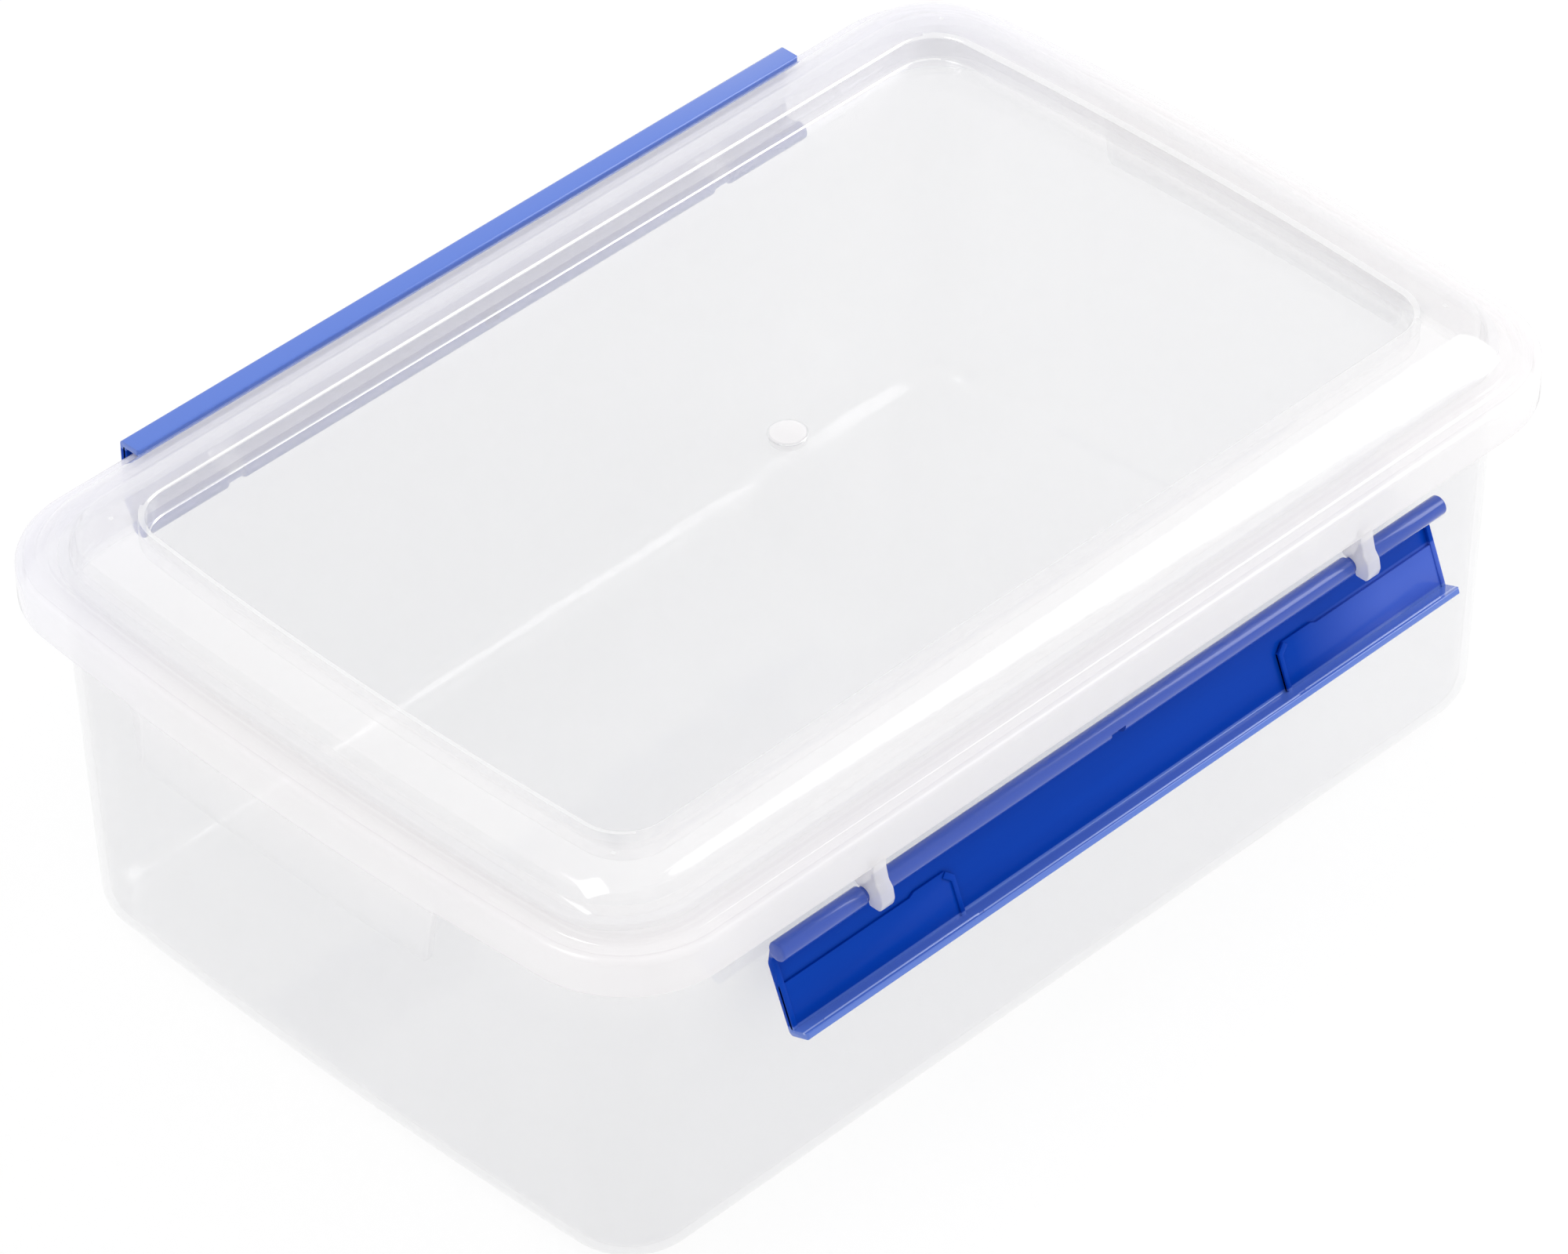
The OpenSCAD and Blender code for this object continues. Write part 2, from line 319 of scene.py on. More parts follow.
@dataclass(frozen=True)
class ClearPlastic:
    """Clear moulded polypropylene: a thin milky wall that lets most light straight through, with
    painted shade that darkens its milk towards -X.
    """

    name: str
    tint: tuple = (0.89, 0.89, 0.91, 1)
    # painted shade: the darker colour the milk takes at the -X end
    painted_shade: tuple = (0.76, 0.762, 0.785, 1)
    thick: tuple = (0.985, 0.965, 0.972, 1)
    # painted blue cast: lavender standing in for the rear clip's blue light seen through the thick
    # milky plastic
    thick_clip_cast: tuple = (0.95, 0.94, 1.0, 1)
    veil: float = 0.14
    scatter_through: float = 0.12
    roughness: float = 0.06
    least_gloss: float = 0.04
    wave: float = 0.3
    haze: float = 0.05
    # painted shade: the X span over which the milk goes from the darker painted colour to the tint
    painted_shade_span: Point = (-0.14, 0.1)
    # painted blue cast: the Y span over which the thick plastic turns lavender towards the back
    clip_cast_span: Point = (0.03, 0.09)
    ripple_depth: float = 0.0006

    def milkier(self, shader: Shader) -> Socket:
        """Returns how much milkier than elsewhere each place is."""
        return shader.noise(14, 3) * self.haze

    def waviness(self, shader: Shader) -> object:
        """Returns how wavy each place is."""
        return self.wave

    def thickness(self, shader: Shader) -> object:
        """Returns 1 where the plastic is thick and whiter, and 0 elsewhere."""
        return 0.0

    def material(self) -> bpy.types.Material:
        """Builds the material."""
        shader = Shader(self.name)
        cloud = shader.noise(14, 3)
        flow = shader.noise(55, 2)
        grain = shader.noise(900, 2)
        swell = shader.noise(24, 1)
        x, y, _ = shader.axes()
        # Painted shade: the milk is darker towards -X and lighter towards +X, with a random cloudy
        # tone mixed in.
        painted_shade_tone = cloud * 0.3 + x.ramp(*self.painted_shade_span) * 0.7
        thin = shader.mix(painted_shade_tone, self.painted_shade, self.tint)
        # Painted blue cast: the thick plastic goes from its own warm white at the front to lavender
        # towards the back, for the rear clip's blue light seen through it.
        thick = shader.mix(y.ramp(*self.clip_cast_span), self.thick, self.thick_clip_cast)
        height = (swell + flow * 0.3) * self.waviness(shader) + grain * 0.003
        ripple = shader.bump(height, self.ripple_depth)
        milk = shader.node("ShaderNodeBsdfPrincipled", {}, {
            "Base Color": shader.mix(self.thickness(shader), thin, thick),
            "Roughness": 0.5 + flow * 0.2,
            "Specular IOR Level": 0.0,
            "Normal": ripple,
        })
        through = shader.node("ShaderNodeBsdfTranslucent", {}, {"Color": self.tint})
        body = shader.blend(self.scatter_through, milk, through)
        clear = shader.node("ShaderNodeBsdfTransparent")
        wall = shader.blend(self.veil + self.milkier(shader), clear, body)
        gloss = shader.node("ShaderNodeBsdfGlossy", {}, {
            "Color": (1, 1, 1, 1), "Roughness": self.roughness + flow * 0.06, "Normal": ripple})
        facing = shader.node("ShaderNodeLayerWeight", {}, {"Blend": 0.5, "Normal": ripple},
                             "Facing")
        sheen = self.least_gloss + facing ** 5 * (1 - self.least_gloss)
        return shader.finish(shader.blend(sheen, wall, gloss))


@dataclass(frozen=True)
class TubPlastic(ClearPlastic):
    """The tub's clear plastic, milkier at the rim and apron, and white in the thick hooks."""

    name: str = "tub_clear"
    wave: float = 1.0
    rim: float = 0.2
    hook: float = 0.35
    hook_from: Point = (0.0955, 0.0965)
    apron_from: Point = (0.0905, 0.0925)
    end_from: Point = (0.147, 0.148)
    grip_from: Point = (0.07, 0.072)
    calm_from: Point = (0.05, 0.08)
    least_wave: float = 0.08
    thick_from: Point = (0.07, 0.092)

    def milkier(self, shader: Shader) -> Socket:
        """Returns how much milkier each place is: most in the hooks, less in the rim and apron."""
        x, y, z = shader.axes()
        side = abs(y).ramp(*self.hook_from)
        apron = z.ramp(*self.apron_from)
        end = abs(x).ramp(*self.end_from) * z.ramp(*self.grip_from)
        thick = (apron + end * (1 - apron) * 0.2) * self.rim + side * (1 - apron) * self.hook
        return super().milkier(shader) + thick

    def waviness(self, shader: Shader) -> Socket:
        """Returns how wavy each place is: most low in the wall, hardly at all in the rim."""
        _, _, z = shader.axes()
        return (1 - z.ramp(*self.calm_from)) * self.wave + self.least_wave

    def thickness(self, shader: Shader) -> Socket:
        """Returns 1 in the rim, apron and hooks, and 0 in the wall and base."""
        _, _, z = shader.axes()
        return z.ramp(*self.thick_from)


@dataclass(frozen=True)
class LidPlastic(ClearPlastic):
    """The lid's clear plastic, whitened where it was filled at the gate mark."""

    name: str = "lid_clear"
    tint: tuple = (0.79, 0.79, 0.81, 1)
    # painted shade: the darker colour the lid's milk takes towards -X
    painted_shade: tuple = (0.67, 0.673, 0.695, 1)
    least_gloss: float = 0.06
    gate: float = 0.26
    gate_r: float = 0.0044
    border: float = 0.0765
    border_end: float = 0.1277

    def milkier(self, shader: Shader) -> Socket:
        """Returns how much milkier each place is: most at the gate mark."""
        return super().milkier(shader) + self.at_gate(shader) * self.gate

    def at_gate(self, shader: Shader) -> Socket:
        """Returns 1 on the gate mark and 0 elsewhere."""
        x, y, _ = shader.axes()
        away = (x ** 2 + y ** 2) ** 0.5
        return 1 - away.ramp(self.gate_r - 0.0004, self.gate_r)

    def thickness(self, shader: Shader) -> Socket:
        """Returns 1 outside the panel and on the gate mark, and 0 elsewhere."""
        x, y, _ = shader.axes()
        side = abs(y).ramp(self.border, self.border + 0.001)
        end = abs(x).ramp(self.border_end - 0.002, self.border_end)
        return side + end - side * end + self.at_gate(shader) * 0.8


@dataclass(frozen=True)
class EdgePlastic(ClearPlastic):
    """The lid's clear plastic along the rounded edges of its panel, which catch the light."""

    name: str = "lid_edge"
    least_gloss: float = 0.5
    roughness: float = 0.1


@dataclass(frozen=True)
class BluePlastic:
    """Royal blue moulded polypropylene: deep in the panel, with painted light making the bead and
    the thin lip paler.
    """

    axis: tuple[float, float]
    lip: tuple[float, float]
    name: str = "clip_blue"
    deep: tuple = (0.001, 0.043, 0.37, 1)
    # painted light: the bead's blue, lighter than the skin's, for the light its upward face catches
    painted_lit_bead: tuple = (0.03, 0.08, 0.43, 1)
    # painted light: the lip's blue, paler still, for the light that falls on the lip and shines up
    # through it
    painted_lit_lip: tuple = (0.09, 0.18, 0.6, 1)
    # painted light: the lighter blue of the end plate at +X, for the light falling on that end
    plate: tuple = (0.05, 0.115, 0.56, 1)
    streak: tuple = (0.002, 0.056, 0.45, 1)
    bead_top: float = 0.0026
    lip_from: float = 0.0195
    rib_at: float = 0.00025
    rib_step: float = 0.0003
    # painted highlight: the pale line along each rib under the lip, for the glint on its edge
    rib: tuple = (0.42, 0.52, 0.88, 1)
    rib_glint_half: Point = (0.0002, 0.0004)
    rib_step_from: Point = (0.0505, 0.0515)
    ledge_h: Point = (0.0011, 0.0013)
    painted_lit_plate_x: Point = (0.056, 0.085)
    plate_up: Point = (0.0088, 0.0092)
    roughness: float = 0.2

    def material(self) -> bpy.types.Material:
        """Builds the material."""
        shader = Shader(self.name)
        place = shader.node("ShaderNodeTexCoord", output="Object")
        along = shader.node("ShaderNodeMapping", {}, {"Vector": place, "Scale": (0.12, 1, 1)})
        flow = shader.node("ShaderNodeTexNoise", {}, {"Vector": along, "Scale": 160, "Detail": 3})
        grain = shader.noise(1500, 2)
        x, y, z = shader.axes()
        up = (y - self.axis[0]) * self.lip[0] + (z - self.axis[1]) * self.lip[1]
        # Painted light: only the end plate at +X takes the lighter blue; elsewhere the skin is deep
        # blue with random streaks.
        plate = x.ramp(*self.painted_lit_plate_x) * up.ramp(*self.plate_up)
        panel = shader.mix(plate, shader.mix(flow, self.deep, self.streak), self.plate)
        above = up.ramp(self.bead_top - 0.0002, self.bead_top)
        lip = up.ramp(self.lip_from, self.lip_from + 0.0003)
        out = (z - self.axis[1]) * self.lip[0] - (y - self.axis[0]) * self.lip[1]
        ledge = lip * (1 - up.ramp(*(self.lip_from + h for h in self.ledge_h)))
        # Painted highlight: a pale line along the ribs under the lip, stepped out beyond the end
        # plates.
        line = self.rib_at + abs(x).ramp(*self.rib_step_from) * self.rib_step
        rib = ledge * (1 - abs(out - line).ramp(*self.rib_glint_half))
        # Painted light: the bead and the lip get lighter copies of the skin's blue.
        colour = shader.mix(lip, shader.mix(above, self.painted_lit_bead, panel), self.painted_lit_lip)
        surface = shader.node("ShaderNodeBsdfPrincipled", {}, {
            "Base Color": shader.mix(rib * 0.7, colour, self.rib),
            "Coat Weight": 1 - above + lip + plate * 0.3,
            "Coat Roughness": 0.12,
            "Roughness": self.roughness + flow * 0.1,
            "IOR": 1.49,
            "Specular IOR Level": 0.06,
            "Normal": shader.bump(flow * 0.8 + grain * 0.1, 0.00025, 0.35),
        })
        return shader.finish(surface)


@dataclass(frozen=True)
class ClearSilicone:
    """Clear soft silicone with a satin skin."""

    name: str = "seal_silicone"

    def material(self) -> bpy.types.Material:
        """Builds the material."""
        shader = Shader(self.name)
        cloud = shader.noise(60, 2)
        surface = shader.node("ShaderNodeBsdfPrincipled", {}, {
            "Base Color": shader.mix(cloud, (0.93, 0.935, 0.955, 1), (0.96, 0.965, 0.98, 1)),
            "Roughness": 0.3 + cloud * 0.1,
            "IOR": 1.41,
            "Alpha": 0.25 + cloud * 0.1,
        })
        return shader.finish(surface)


def to_object(bm: bmesh.types.BMesh, name: str, material: bpy.types.Material,
              smooth_angle: float = math.radians(35)) -> bpy.types.Object:
    """Turns a bmesh in millimetres into a finished object in metres.

    Args:
        bm: The mesh, which is freed.
        name: The object's name.
        material: Its finish.
        smooth_angle: Edges sharper than this stay crisp.

    Returns:
        The object, at the origin and unturned.
    """
    bmesh.ops.scale(bm, vec=(MM, MM, MM), verts=bm.verts)
    for face in bm.faces:
        face.smooth = True
    for edge in bm.edges:
        edge.smooth = not edge.is_manifold or edge.calc_face_angle(0) < smooth_angle
    mesh = bpy.data.meshes.new(name)
    bm.to_mesh(mesh)
    bm.free()
    mesh.materials.append(material)
    made = bpy.data.objects.new(name, mesh)
    bpy.context.scene.collection.objects.link(made)
    log.info("%s: %d faces", name, len(mesh.polygons))
    return made


def first_ring(bm: bmesh.types.BMesh, places: Sequence[Vector]) -> list:
    """Lays a closed ring of vertices and edges and returns its vertices."""
    ring = [bm.verts.new(p) for p in places]
    for a, b in zip(ring, ring[1:] + ring[:1]):
        bm.edges.new((a, b))
    return ring


def extrude_ring(bm: bmesh.types.BMesh, ring: list, places: Sequence[Vector]) -> list:
    """Extrudes a closed ring of vertices to new places.

    Args:
        bm: The mesh.
        ring: The ring's vertices in order.
        places: Where the new ring's vertices go, in the same order.

    Returns:
        The new ring's vertices in order.
    """
    edges = [bm.edges.get((a, b)) for a, b in zip(ring, ring[1:] + ring[:1])]
    made = bmesh.ops.extrude_edge_only(bm, edges=edges)["geom"]
    fresh = {v for v in made if isinstance(v, bmesh.types.BMVert)}
    result = []
    for old, place in zip(ring, places):
        new = next(e.other_vert(old) for e in old.link_edges if e.other_vert(old) in fresh)
        new.co = place
        result.append(new)
    return result


def moulded_shell(sizes: Sizes, path: Sequence[Station]) -> bmesh.types.BMesh:
    """Builds a closed shell from a flat first face through a path of rings to a flat last face.

    Args:
        sizes: The container's sizes.
        path: The stations in order.

    Returns:
        The mesh, in millimetres.
    """
    bm = bmesh.new()
    ring: list = []
    for station in path:
        flat = sizes.outline(station.family).points(station.inset)
        level = station.level or (lambda x, y, z=station.height: z)
        places = [Vector((x, y, level(x, y))) for x, y in flat]
        if ring:
            ring = extrude_ring(bm, ring, places)
        else:
            ring = first_ring(bm, places)
            bmesh.ops.contextual_create(bm, geom=ring)
    bmesh.ops.contextual_create(bm, geom=ring)
    bmesh.ops.recalc_face_normals(bm, faces=bm.faces)
    return bm


def fillet(corner: Point, before: Point, after: Point, radius: float,
           steps: int = 4) -> list[Point]:
    """Rounds one corner of a section.

    Args:
        corner: The sharp corner.
        before: The point before it.
        after: The point after it.
        radius: The rounding's radius.
        steps: How many lines make the arc.

    Returns:
        The arc's points in order.
    """
    c, a, b = Vector(corner), Vector(before), Vector(after)
    u, v = (a - c).normalized(), (b - c).normalized()
    angle = u.angle(v)
    reach = min(radius / math.tan(angle / 2), 0.49 * (a - c).length, 0.49 * (b - c).length)
    radius = reach * math.tan(angle / 2)
    centre = c + (u + v).normalized() * (radius / math.sin(angle / 2))
    start, end = c + u * reach - centre, c + v * reach - centre
    sweep = start.angle_signed(end)
    points = []
    for i in range(steps + 1):
        t = -sweep * i / steps
        x = start.x * math.cos(t) - start.y * math.sin(t)
        y = start.x * math.sin(t) + start.y * math.cos(t)
        points.append((centre.x + x, centre.y + y))
    return points


def rounded(section: Sequence[tuple[float, float, float]], steps: int = 4) -> list[Point]:
    """Rounds the corners of a closed section.

    Args:
        section: Points as (x, y, radius); a radius of 0 leaves the corner sharp.
        steps: How many lines make each arc.

    Returns:
        The section's points in order.
    """
    points: list[Point] = []
    count = len(section)
    for i, (x, y, radius) in enumerate(section):
        before, after = section[i - 1][:2], section[(i + 1) % count][:2]
        points += fillet((x, y), before, after, radius, steps) if radius else [(x, y)]
    return points


def arc(centre: Point, radius: float, start: float, end: float, steps: int) -> list[Point]:
    """Returns points along an arc, with its angles in degrees."""
    turns = [math.radians(start + (end - start) * i / steps) for i in range(steps + 1)]
    return [(centre[0] + radius * math.cos(t), centre[1] + radius * math.sin(t)) for t in turns]


def turn(bm: bmesh.types.BMesh, angle: float, axis: str) -> None:
    """Turns a mesh about an axis through the origin."""
    bmesh.ops.rotate(bm, cent=(0, 0, 0), matrix=Matrix.Rotation(angle, 3, axis), verts=bm.verts)


def prism(section: Sequence[Point], x0: float, x1: float) -> bmesh.types.BMesh:
    """Extrudes a section along X.

    Args:
        section: Points as (out, up), where out is towards -Y.
        x0: Where the prism starts.
        x1: Where it ends.

    Returns:
        The mesh.
    """
    bm = bmesh.new()
    verts = [bm.verts.new((x0, -out, up)) for out, up in section]
    face = bm.faces.new(verts)
    made = bmesh.ops.extrude_face_region(bm, geom=[face])["geom"]
    moved = [v for v in made if isinstance(v, bmesh.types.BMVert)]
    bmesh.ops.translate(bm, vec=(x1 - x0, 0, 0), verts=moved)
    bmesh.ops.recalc_face_normals(bm, faces=bm.faces)
    return bm


def bevel_sharp(bm: bmesh.types.BMesh, width: float, segments: int = 2,
                angle: float = math.radians(40)) -> None:
    """Rounds every edge of a mesh that is sharper than an angle."""
    edges = [e for e in bm.edges if e.is_manifold and e.calc_face_angle(0) > angle]
    bmesh.ops.bevel(bm, geom=edges, offset=width, segments=segments, profile=0.5,
                    affect="EDGES", clamp_overlap=True, material=-1)


def box_mesh(low: Sequence[float], high: Sequence[float]) -> bmesh.types.BMesh:
    """Returns a box between two corners."""
    bm = bmesh.new()
    made = bmesh.ops.create_cube(bm, size=1)["verts"]
    size = [h - l for l, h in zip(low, high)]
    bmesh.ops.scale(bm, vec=size, verts=made)
    bmesh.ops.translate(bm, vec=[(l + h) / 2 for l, h in zip(low, high)], verts=made)
    return bm


def disc(radius: float, height: float, segments: int, rounding: float,
         steps: int) -> bmesh.types.BMesh:
    """Returns an upright cylinder about the origin whose rims are rounded in so many steps."""
    bm = bmesh.new()
    bmesh.ops.create_cone(bm, cap_ends=True, segments=segments, radius1=radius, radius2=radius,
                          depth=height)
    rims = [e for e in bm.edges if abs(e.verts[0].co.z - e.verts[1].co.z) < LEVEL]
    bmesh.ops.bevel(bm, geom=rims, offset=rounding, segments=steps, profile=0.5, affect="EDGES",
                    clamp_overlap=True, material=-1)
    return bm


def rod(x0: float, x1: float, radius: float, rounding: float,
        segments: int = 32) -> bmesh.types.BMesh:
    """Returns a rod along X about the origin with rounded ends."""
    bm = disc(radius, x1 - x0, segments, rounding, 4)
    turn(bm, math.pi / 2, "Y")
    bmesh.ops.translate(bm, vec=((x0 + x1) / 2, 0, 0), verts=bm.verts)
    return bm


def join(target: bmesh.types.BMesh, *parts: bmesh.types.BMesh) -> bmesh.types.BMesh:
    """Adds meshes to a mesh and frees them."""
    for part in parts:
        mesh = bpy.data.meshes.new("part")
        part.to_mesh(mesh)
        part.free()
        target.from_mesh(mesh)
        bpy.data.meshes.remove(mesh)
    return target


def cut(body: bmesh.types.BMesh, cutters: Sequence[bmesh.types.BMesh]) -> bmesh.types.BMesh:
    """Cuts meshes out of a mesh.

    Args:
        body: The mesh that is cut, which is freed.
        cutters: The meshes that are taken out, which are freed.

    Returns:
        The cut mesh.
    """
    made = []
    for bm in [body, *cutters]:
        mesh = bpy.data.meshes.new("cut")
        bm.to_mesh(mesh)
        bm.free()
        holder = bpy.data.objects.new("cut", mesh)
        bpy.context.scene.collection.objects.link(holder)
        made.append(holder)
    for cutter in made[1:]:
        modifier = made[0].modifiers.new("cut", "BOOLEAN")
        modifier.operation = "DIFFERENCE"
        modifier.solver = "EXACT"
        modifier.object = cutter
    graph = bpy.context.evaluated_depsgraph_get()
    result = bmesh.new()
    result.from_object(made[0], graph)
    for holder in made:
        mesh = holder.data
        bpy.data.objects.remove(holder)
        bpy.data.meshes.remove(mesh)
    bmesh.ops.remove_doubles(result, verts=result.verts, dist=MERGE)
    return result


@dataclass
class Tub:
    """The clear tub: wall, base, rim, apron with two hand grips, and four clip hooks."""

    sizes: Sizes
    finish: TubPlastic = field(default_factory=TubPlastic)
    step_r: float = 3.0
    hook_x: float = 76.3
    hook_w: float = 4.0
    pin_r: float = 1.83

    def apron_edge(self, x: float, y: float) -> float:
        """Returns the height of the apron's lower edge, which is deeper at the hand grips."""
        s = self.sizes
        high, low = s.parting_z - s.apron_h, s.parting_z - s.grip_h
        if abs(x) < s.lid_l / 2 - s.lid_r:
            return high
        gap = abs(y) - s.grip_w / 2
        t = min(max((gap + self.step_r / 2) / self.step_r, 0.0), 1.0)
        return low + (high - low) * (t * t * (3 - 2 * t))

    def path(self) -> list[Station]:
        """Returns the stations of the tub's shell, from under the base to the inside floor."""
        s = self.sizes
        lean = s.draft / (s.parting_z - s.base_r)
        lid, wall = Family.LID, Family.WALL

        def outer(z: float, more: float = 0.0) -> Station:
            """Returns the wall's outer face, or a face deeper in it, at a height."""
            return Station(wall, lean * (s.parting_z - z) + more, z)

        stations = [Station(wall, s.draft + s.base_r + 4, 0.0)]
        for i in range(11):
            t = math.pi / 2 * i / 10
            stations.append(Station(wall, s.draft + s.base_r * (1 - math.sin(t)),
                                    s.base_r * (1 - math.cos(t))))
        under = s.parting_z - s.rim_t
        stations += [outer(z) for z in (30, 50, 70, 85, under - 1.2)]
        stations += [outer(under - 0.5, -0.15), outer(under - 0.1, -0.6), outer(under, -1.3)]
        inner = s.rim_t - s.apron_out
        stations += [Station(lid, inner + 0.6, under), Station(lid, inner + 0.15, under - 0.2),
                     Station(lid, inner, under - 0.8)]

        def apron(inset: float, drop: float) -> Station:
            """Returns a ring at the apron's lower edge."""
            return Station(lid, inset, 0, lambda x, y: self.apron_edge(x, y) + drop)

        stations += [apron(inner, 0.5), apron(inner - 0.15, 0.12), apron(inner - 0.5, 0.0),
                     apron(-s.apron_out + 0.5, 0.0), apron(-s.apron_out + 0.12, 0.12),
                     apron(-s.apron_out, 0.5)]
        stations += [Station(lid, -s.apron_out, under - 1.4),
                     Station(lid, -s.apron_out, under - 0.4)]
        for i in range(1, 7):
            t = math.pi / 2 * i / 6
            stations.append(Station(lid, -s.apron_out + 1.6 * (1 - math.cos(t)),
                                    s.parting_z - 1.6 * (1 - math.sin(t))))
        stations += [outer(s.parting_z, s.wall - 0.5), outer(s.parting_z - 0.15, s.wall - 0.1),
                     outer(s.parting_z - 0.5, s.wall)]
        stations += [outer(z, s.wall) for z in (85, 70, 50, 30)]
        radius = s.base_r - s.wall
        for i in range(11):
            t = math.pi / 2 * (1 - i / 10)
            stations.append(Station(wall, s.draft + s.wall + radius * (1 - math.sin(t)),
                                    s.wall + radius * (1 - math.cos(t))))
        stations.append(Station(wall, s.draft + s.base_r + 4, s.wall))
        return stations

    def hook(self, x: float) -> bmesh.types.BMesh:
        """Returns one hook under the front apron, open at its back, about its clip's axis."""
        s = self.sizes
        v = s.axis_in + s.apron_out
        top = s.axis_drop - s.apron_h + 1.2
        outer = rounded([(v - 1.3, top, 0), (v, top, 0), (v + 0.05, 7.8, 2.0), (4.1, 4.6, 1.5),
                         (5.4, 2.9, 1.5), (5.9, 0.2, 2.0), (5.3, -2.1, 1.2), (1.7, -2.1, 0.6)], 5)
        bore = arc((0, 0), self.pin_r, -38, 128, 14)
        back = [(-2.6, 2.2), (-2.0, 3.6), (-0.4, 5.0)]
        bm = prism(outer + bore + back, x - self.hook_w / 2, x + self.hook_w / 2)
        bevel_sharp(bm, 0.45, 3, math.radians(50))
        bmesh.ops.translate(bm, vec=(0, -s.axis_y, s.axis_z), verts=bm.verts)
        return bm

    def build(self) -> None:
        """Builds the tub in place of its CAD node."""
        bm = moulded_shell(self.sizes, self.path())
        for angle in (0.0, math.pi):
            for x in (-self.hook_x, self.hook_x):
                hook = self.hook(x)
                turn(hook, angle, "Z")
                join(bm, hook)
        tub = to_object(bm, "tub_moulding", self.finish.material())
        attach(tub, "container")
        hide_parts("tub")


@dataclass
class Lid:
    """The clear lid: ledge, domed shoulder, recessed panel with its gate mark, skirt and rib."""

    sizes: Sizes
    finish: LidPlastic = field(default_factory=LidPlastic)
    edge: EdgePlastic = field(default_factory=EdgePlastic)
    rib_in: float = 5.2
    gate_t: float = 0.6

    def path(self) -> list[Station]:
        """Returns the stations of the lid's shell, from under the panel to the panel's top."""
        s = self.sizes
        lid, wall, panel = Family.LID, Family.WALL, Family.PANEL
        under_panel = s.lid_top - s.panel_depth - s.lid_t
        under_border = s.lid_top - s.lid_t
        skirt, skirt_in = s.skirt_inset, s.skirt_inset + s.skirt_t
        tip = s.parting_z - s.skirt_h
        bottom = s.parting_z + 0.05
        stations = [Station(panel, 10, under_panel), Station(panel, 0.5, under_panel),
                    Station(panel, -0.9, under_panel + 0.25),
                    Station(panel, -1.5, under_panel + 0.8),
                    Station(panel, -1.8, under_panel + 1.6),
                    Station(panel, -1.8, under_border - 0.4),
                    Station(panel, -2.1, under_border), Station(lid, s.flat_inset, under_border)]
        stations += [Station(lid, u, s.shoulder_height(u, s.lid_t)) for u in (17.5, 15.0, 13.0)]
        stations += [Station(wall, skirt_in, 108.6), Station(wall, skirt_in, 104),
                     Station(wall, skirt_in, tip + 0.4), Station(wall, skirt_in - 0.4, tip),
                     Station(wall, skirt + 0.4, tip), Station(wall, skirt, tip + 0.4),
                     Station(wall, skirt, 104), Station(wall, skirt, 106.4)]
        stations += [Station(lid, 7.4, s.shoulder_height(7.4, s.lid_t)),
                     Station(lid, 6.2, s.shoulder_height(6.2, s.lid_t) - 0.1),
                     Station(lid, self.rib_in, s.shoulder_height(self.rib_in, s.lid_t)),
                     Station(lid, self.rib_in, bottom + 0.3),
                     Station(lid, self.rib_in - 0.3, bottom),
                     Station(lid, 2.5, bottom), Station(lid, 0.3, bottom),
                     Station(lid, 0.08, bottom + 0.08),
                     Station(lid, 0, bottom + 0.25), Station(lid, 0, s.parting_z + s.edge_h - 0.25),
                     Station(lid, 0.08, s.parting_z + s.edge_h - 0.06),
                     Station(lid, 0.3, s.parting_z + s.edge_h),
                     Station(lid, s.ledge_w - 0.5, s.parting_z + s.edge_h),
                     Station(lid, s.ledge_w - 0.1, s.parting_z + s.edge_h + 0.12)]
        for i in range(1, 25):
            t = s.shoulder_slope * (1 - i / 24)
            stations.append(Station(lid, s.flat_inset - s.shoulder_r * math.sin(t),
                                    s.lid_top - s.shoulder_r * (1 - math.cos(t))))
        top, low = s.lid_top, s.lid_top - s.panel_depth
        stations += [Station(panel, -1.6, top), Station(panel, -0.8, top - 0.03),
                     Station(panel, -0.35, top - 0.2), Station(panel, -0.08, top - 0.5),
                     Station(panel, 0.0, top - 1.0), Station(panel, 0.15, low + 1.0),
                     Station(panel, 0.3, low + 0.45), Station(panel, 0.6, low + 0.15),
                     Station(panel, 1.1, low), Station(panel, 10, low)]
        return stations

    def gate(self) -> bmesh.types.BMesh:
        """Returns the low round gate mark in the middle of the panel."""
        s = self.sizes
        bm = disc(s.gate_d / 2, self.gate_t, 48, 0.25, 3)
        bmesh.ops.translate(bm, vec=(0, 0, s.lid_top - s.panel_depth + 0.05), verts=bm.verts)
        return bm

    def on_edge(self, face: bmesh.types.BMFace) -> bool:
        """Returns whether a face belongs to the rounded edges of the panel's recess."""
        s = self.sizes
        inset = s.flat_inset + s.border_w - 1.4
        x, y, z = face.calc_center_median()
        inside = abs(x) < s.lid_l / 2 - inset and abs(y) < s.lid_w / 2 - inset
        low = s.lid_top - s.panel_depth
        top = s.lid_top - 0.55 < z < s.lid_top - 0.005
        foot = low + 0.02 < z < low + 0.4 and face.normal.y < -0.4
        tilted = abs(face.normal.z) < 0.985 or abs(face.normal.x) > 0.02
        return inside and (top or foot) and tilted

    def build(self) -> None:
        """Builds the lid in place of its CAD node."""
        bm = join(moulded_shell(self.sizes, self.path()), self.gate())
        for face in bm.faces:
            face.material_index = int(self.on_edge(face))
        lid = to_object(bm, "lid_moulding", self.finish.material())
        lid.data.materials.append(self.edge.material())
        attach(lid, "container")
        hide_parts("lid")


